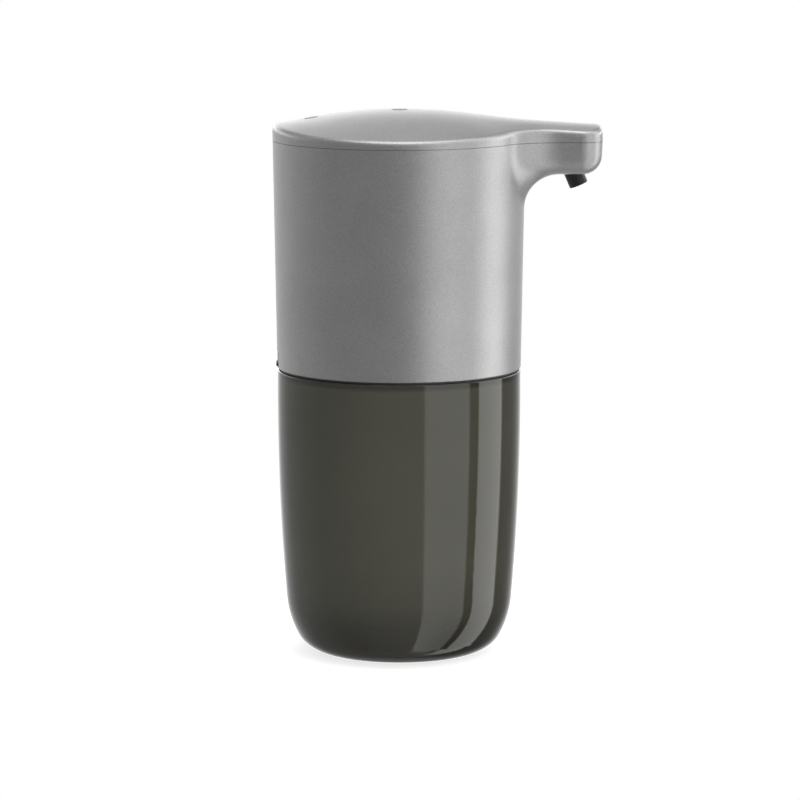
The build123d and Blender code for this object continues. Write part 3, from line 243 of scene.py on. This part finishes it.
disc = bmesh.new()
bmesh.ops.create_circle(disc, cap_ends=True, radius=floorVals["radius"], segments=floorVals["sides"])
floorMesh = bpy.data.meshes.new("floor")
disc.to_mesh(floorMesh)
disc.free()
floor = bpy.data.objects.new("floor", floorMesh)
bpy.context.collection.objects.link(floor)
paleFloor, tree, shader = newMaterial("paleFloor")
shader.inputs["Base Color"].default_value = (*(floorVals["tone"],) * 3, 1)
shader.inputs["Roughness"].default_value = floorVals["rough"]
shader.inputs["Specular IOR Level"].default_value = 0.0
length = put(tree, "ShaderNodeVectorMath", operation="LENGTH")
tree.links.new(objCoord(tree), length.inputs[0])
rim = (floorVals["solid"], floorVals["radius"])
tree.links.new(mapped(tree, length.outputs["Value"], rim, (1, 0), smooth=True), shader.inputs["Alpha"])
path = put(tree, "ShaderNodeLightPath")
seen = mathNode(tree, "MAXIMUM", path.outputs["Is Camera Ray"], path.outputs["Is Transmission Ray"])
shader.inputs["Emission Color"].default_value = (1, 1, 1, 1)
tree.links.new(mathNode(tree, "MULTIPLY", seen, floorVals["lift"]), shader.inputs["Emission Strength"])
floorMesh.materials.append(paleFloor)
floor.visible_glossy = False
print("floor done")


# silver paint of the housing and the lid

paint = {
    "base": (0.604, 0.603, 0.602), "spread": 0.16, "places": (0.30, 0.70),
    "metal": 0.9, "rough": 0.42, "roughSwing": 0.04,
    "flake": 2900.0, "cloud": 55.0, "flakeShare": 0.75,
    "relief": 0.22, "depth": 0.00008,
}

silverPaint, tree, shader = newMaterial("silverPaint")
coord = objCoord(tree)
flake = noise(tree, coord, paint["flake"], detail=1.0)
tone = weighed(tree, flake, paint["flakeShare"], noise(tree, coord, paint["cloud"]))
shades = (1 - paint["spread"], 1 + paint["spread"])
tree.links.new(spotted(tree, tone, paint["base"], paint["places"], shades), shader.inputs["Base Color"])
shader.inputs["Metallic"].default_value = paint["metal"]
swing = (paint["rough"] - paint["roughSwing"], paint["rough"] + paint["roughSwing"])
tree.links.new(mapped(tree, flake, target=swing), shader.inputs["Roughness"])
bump(tree, shader, flake, paint["relief"], paint["depth"])
give(silverPaint, "housing", "top_cover")
print("paint done")


# smoked cup: painted shade makes it darker towards the foot and in a band just under the rim, below the
# housing; where it turns away from the eye it is darker, partly as a smoked wall seen aslant and mostly as
# painted shade

smoke = {
    "tint": (0.195, 0.190, 0.144), "places": (0.35, 0.65), "shades": (0.97, 1.03), "haze": 30.0,
    "clear": 0.35, "rough": 0.02, "ior": 1.59, "gloss": 0.72,
    "ripple": 90.0, "relief": 0.05, "depth": 0.0001,
    # painted shade: the cup gets darker towards its foot, by height
    "paintedFootShade": [(0.0, 0.41), (0.012675, 0.56), (0.02145, 0.84), (0.0351, 1.0)],  # (height in metres, level)
    # the band just under the rim is painted shade below the housing
    "band": 0.0019, "bandFade": 0.000585, "paintedBandShade": 0.50,  # width and half fade in metres, and level
    # turn: darker where the wall turns away from the eye, partly a smoked wall's tint seen aslant and mostly
    # painted shade
    "turn": [(0.0, 1.0), (0.11, 0.87), (0.19, 0.80), (0.26, 0.75), (0.43, 0.76), (0.56, 0.62),
             (0.68, 0.46), (1.0, 0.3)],  # (share of the turn from the eye, level)
    "turnBlend": 0.5,
}

smokedCup, tree, shader = newMaterial("smokedCup")
coord = objCoord(tree)
haze = noise(tree, coord, smoke["haze"], detail=1.0)
tint = spotted(tree, haze, smoke["tint"], smoke["places"], smoke["shades"])
place = put(tree, "ShaderNodeSeparateXYZ")
tree.links.new(coord, place.inputs[0])
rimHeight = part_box("reservoir")[1].z
bandFoot = rimHeight - smoke["band"]
bandStops = [(bandFoot - smoke["bandFade"], 1.0), (bandFoot + smoke["bandFade"], smoke["paintedBandShade"])]
stops = [(height / rimHeight, level) for height, level in smoke["paintedFootShade"] + bandStops]
# painted shade by height: darker towards the foot and in the band just under the rim
paintedShadeByHeight = greyRamp(tree, mapped(tree, place.outputs["Z"], (0, rimHeight)), stops)
# darkening by the turn from the eye: partly a smoked wall's tint seen aslant, mostly painted shade in the
# base colour
facing = put(tree, "ShaderNodeLayerWeight")
facing.inputs["Blend"].default_value = smoke["turnBlend"]
aslantTintAndPaintedShade = greyRamp(tree, facing.outputs["Facing"], smoke["turn"])
tree.links.new(multiplied(tree, multiplied(tree, tint, paintedShadeByHeight), aslantTintAndPaintedShade), shader.inputs["Base Color"])
shader.inputs["Specular IOR Level"].default_value = smoke["gloss"]
shader.inputs["Transmission Weight"].default_value = smoke["clear"]
shader.inputs["Roughness"].default_value = smoke["rough"]
shader.inputs["IOR"].default_value = smoke["ior"]
ripple = noise(tree, coord, smoke["ripple"], detail=1.0)
bump(tree, shader, ripple, smoke["relief"], smoke["depth"])
give(smokedCup, "reservoir")
print("cup done")


# moulded plastics and rubbers: each finish's own values go over these

plasticVals = {
    "rough": 0.5, "roughSwing": 0.06, "grain": 1400.0, "cloud": 40.0, "grainShare": 0.4,
    "places": (0.30, 0.70), "shades": (0.86, 1.14), "relief": 0.5, "depth": 0.00003, "coat": 0.0,
}


def plastic(name, colour, **own):
    vals = {**plasticVals, **own}
    made, tree, shader = newMaterial(name)
    coord = objCoord(tree)
    grain = noise(tree, coord, vals["grain"])
    cloud = noise(tree, coord, vals["cloud"])
    tone = weighed(tree, grain, vals["grainShare"], cloud)
    tree.links.new(spotted(tree, tone, colour, vals["places"], vals["shades"]), shader.inputs["Base Color"])
    swing = (vals["rough"] - vals["roughSwing"], vals["rough"] + vals["roughSwing"])
    tree.links.new(mapped(tree, cloud, target=swing), shader.inputs["Roughness"])
    shader.inputs["Coat Weight"].default_value = vals["coat"]
    bump(tree, shader, grain, vals["relief"], vals["depth"])
    return made


padRubber = {"colour": (0.045, 0.045, 0.045), "rough": 0.75, "grain": 900, "depth": 0.00006}
give(plastic("padRubber", **padRubber), "base_pad")

blackBase = {"colour": (0.07, 0.07, 0.07), "rough": 0.5}
give(plastic("blackBase", **blackBase), "base_plate")

buttonSatin = {"colour": (0.30, 0.30, 0.30), "rough": 0.40, "grain": 2600}
give(plastic("buttonSatin", **buttonSatin), "dose_button", "power_button")

nozzleSatin = {"colour": (0.022, 0.022, 0.022), "rough": 0.38, "grain": 2600}
give(plastic("nozzleSatin", **nozzleSatin), "nozzle", "pickup_strainer")

sealRubber = {"colour": (0.05, 0.05, 0.055), "rough": 0.6}
give(plastic("sealRubber", **sealRubber), "reservoir_seal", "shaft_seal", "nozzle_valve")

plugRubber = {"colour": (0.10, 0.10, 0.10), "rough": 0.62, "grain": 1800}
give(plastic("plugRubber", **plugRubber), "charge_plug")

smokedWindow = {"colour": (0.012, 0.012, 0.012), "rough": 0.08, "grain": 300, "depth": 0.00001, "coat": 0.6}
give(plastic("smokedWindow", **smokedWindow), "sensor_window")

eyeLens = {
    "colour": (0.02, 0.006, 0.015), "rough": 0.07, "roughSwing": 0.05, "grain": 300, "depth": 0.00001,
    "coat": 1.0,
}
give(plastic("eyeLens", **eyeLens), "sensor_eyes")

pumpCase = {"colour": (0.10, 0.105, 0.11), "rough": 0.5}
give(plastic("pumpCase", **pumpCase), "pump_body")

pumpLid = {"colour": (0.36, 0.37, 0.38), "rough": 0.45}
give(plastic("pumpLid", **pumpLid), "pump_cover")

redGasket = {"colour": (0.22, 0.05, 0.03), "rough": 0.7}
give(plastic("redGasket", **redGasket), "pump_gasket")

acetal = {"colour": (0.80, 0.78, 0.71), "rough": 0.38, "grain": 1100, "depth": 0.00002}
give(plastic("acetal", **acetal), "pump_drive_gear", "pump_idler_gear", "reduction_gear")

blackBracket = {"colour": (0.06, 0.06, 0.065), "rough": 0.5}
give(plastic("blackBracket", **blackBracket), "motor_bracket", "battery_cradle")

creamCap = {"colour": (0.66, 0.63, 0.52), "rough": 0.45}
give(plastic("creamCap", **creamCap), "motor_end_cap")

switchPin = {"colour": (0.07, 0.07, 0.07), "rough": 0.4}
give(plastic("switchPin", **switchPin), "dose_plunger", "power_plunger")

leadRed = {"colour": (0.36, 0.02, 0.015), "rough": 0.45, "grain": 700}
give(plastic("leadRed", **leadRed), "battery_leads", "power_leads", "motor_leads", "sensor_leads")

cellSleeve = {"colour": (0.035, 0.14, 0.25), "rough": 0.3, "grain": 500, "depth": 0.00001, "coat": 0.4}
give(plastic("cellSleeve", **cellSleeve), "battery_cell")
print("plastics done")


# metals inside: each finish's own values go over these

metalVals = {
    "roughSwing": 0.08, "scratch": (1, 1, 1), "lines": 900.0, "detail": 3.0, "lineRough": 0.6,
    "places": (0.25, 0.75), "shades": (0.8, 1.15), "relief": 0.35, "depth": 0.00002,
}


def metal(name, colour, rough, **own):
    vals = {**metalVals, **own}
    made, tree, shader = newMaterial(name)
    lines = noise(tree, objCoord(tree, vals["scratch"]), vals["lines"], vals["detail"], vals["lineRough"])
    tree.links.new(spotted(tree, lines, colour, vals["places"], vals["shades"]), shader.inputs["Base Color"])
    shader.inputs["Metallic"].default_value = 1.0
    swing = (rough - vals["roughSwing"], rough + vals["roughSwing"])
    tree.links.new(mapped(tree, lines, target=swing), shader.inputs["Roughness"])
    bump(tree, shader, lines, vals["relief"], vals["depth"])
    return made


steelTurned = {"colour": (0.62, 0.62, 0.63), "rough": 0.26, "scratch": (6, 6, 0.4)}
give(metal("steelTurned", **steelTurned), "drive_shaft", "idler_pin", "motor_shaft")

zincScrew = {"colour": (0.56, 0.57, 0.58), "rough": 0.34}
screws = [name for name in nodes if name.endswith("_screws")]
give(metal("zincScrew", **zincScrew), *screws)

motorSteel = {"colour": (0.60, 0.60, 0.60), "rough": 0.32, "scratch": (1, 1, 0.15)}
give(metal("motorSteel", **motorSteel), "motor_can")

brassCut = {"colour": (0.78, 0.58, 0.26), "rough": 0.3}
give(metal("brassCut", **brassCut), "motor_pinion")

platedStrip = {"colour": (0.80, 0.74, 0.60), "rough": 0.25}
give(metal("platedStrip", **platedStrip), "battery_contacts")

drawnShell = {"colour": (0.66, 0.66, 0.68), "rough": 0.22, "scratch": (0.2, 1, 1)}
give(metal("drawnShell", **drawnShell), "charge_socket")

switchFrame = {"colour": (0.58, 0.58, 0.58), "rough": 0.4}
give(metal("switchFrame", **switchFrame), "tact_switches")
print("metals done")


# circuit boards

boardVals = {
    "mask": (0.010, 0.085, 0.035), "copper": (0.03, 0.16, 0.07), "lift": 1.25,
    "tracks": 260.0, "trackWidth": 0.06, "rough": 0.32, "relief": 0.2, "depth": 0.00003,
}

solderMask, tree, shader = newMaterial("solderMask")
grid = put(tree, "ShaderNodeTexBrick")
grid.inputs["Scale"].default_value = boardVals["tracks"]
grid.inputs["Mortar Size"].default_value = boardVals["trackWidth"]
grid.inputs["Color1"].default_value = (*boardVals["mask"], 1)
grid.inputs["Color2"].default_value = (*shade(boardVals["mask"], boardVals["lift"]), 1)
grid.inputs["Mortar"].default_value = (*boardVals["copper"], 1)
tree.links.new(objCoord(tree), grid.inputs["Vector"])
tree.links.new(grid.outputs["Color"], shader.inputs["Base Color"])
shader.inputs["Roughness"].default_value = boardVals["rough"]
bump(tree, shader, grid.outputs["Fac"], boardVals["relief"], boardVals["depth"])
give(solderMask, "control_board", "charge_board", "sensor_board")
print("boards done")


# milky silicone tubes

tubeVals = {
    "colour": (0.62, 0.63, 0.62), "cloud": 260.0, "places": (0.3, 0.7), "shades": (0.9, 1.1),
    "rough": 0.3, "milk": 0.4, "reach": 0.002, "reachScale": 0.5, "relief": 0.15, "depth": 0.00004,
}

milkySilicone, tree, shader = newMaterial("milkySilicone")
cloud = noise(tree, objCoord(tree), tubeVals["cloud"])
tint = spotted(tree, cloud, tubeVals["colour"], tubeVals["places"], tubeVals["shades"])
tree.links.new(tint, shader.inputs["Base Color"])
shader.inputs["Roughness"].default_value = tubeVals["rough"]
shader.inputs["Subsurface Weight"].default_value = tubeVals["milk"]
shader.inputs["Subsurface Radius"].default_value = (tubeVals["reach"],) * 3
shader.inputs["Subsurface Scale"].default_value = tubeVals["reachScale"]
bump(tree, shader, cloud, tubeVals["relief"], tubeVals["depth"])
give(milkySilicone, "outlet_tube", "pickup_tube")
print("tubes done")
